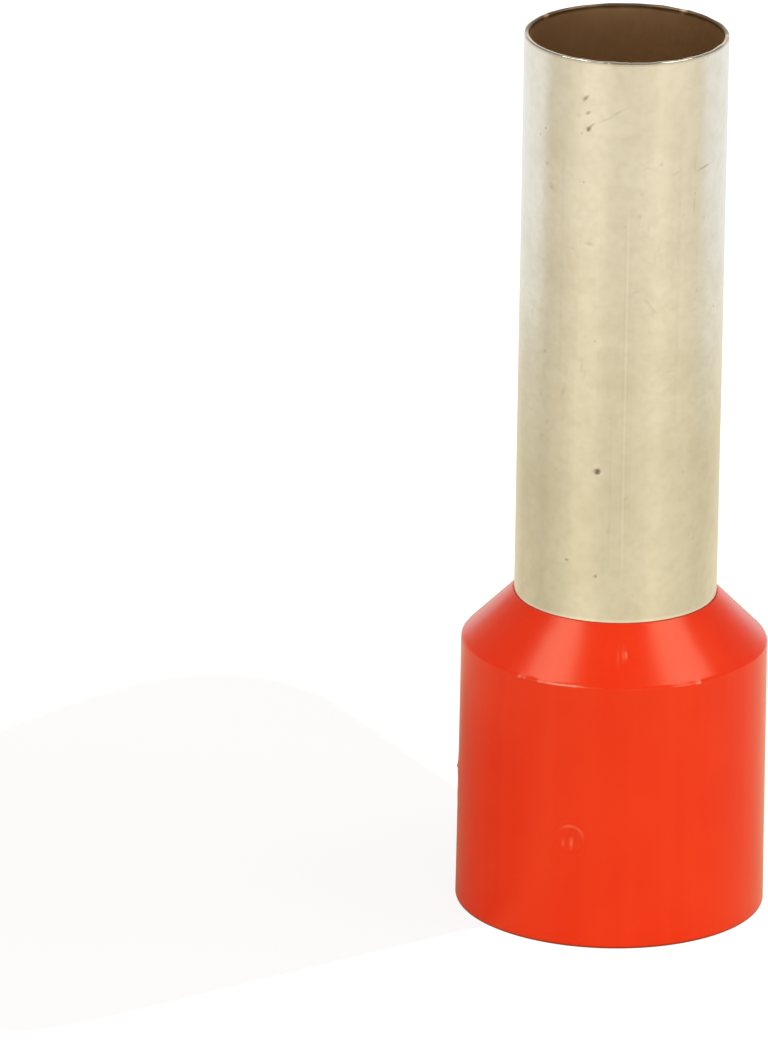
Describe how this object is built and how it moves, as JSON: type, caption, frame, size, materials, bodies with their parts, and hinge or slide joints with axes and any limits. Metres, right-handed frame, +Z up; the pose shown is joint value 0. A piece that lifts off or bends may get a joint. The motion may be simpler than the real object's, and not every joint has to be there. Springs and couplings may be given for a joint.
{
  "type": "insulated wire ferrule",
  "caption": "Bootlace ferrule for a thick stranded wire: a tin-plated copper crimp tube with a flared end, seated in a red insulating collar.",
  "frame": {"origin": "centre of the collar's mouth, at the rim that it stands on", "axes": "+Z up the axis, from the collar's mouth to the tip of the tube; -Y is the front, with the front gate mark a little to its left"},
  "size_m": [0.0132, 0.0132, 0.039],
  "materials": {
    "tin_plate": "dull bright tin plate on drawn copper, faint draw lines and small dents",
    "red_plastic": "satin-gloss orange-red moulded plastic"
  },
  "bodies": {
    "root": {"crimp_tube": "tin_plate", "insulating_collar": "red_plastic"}
  },
  "joints": []
}
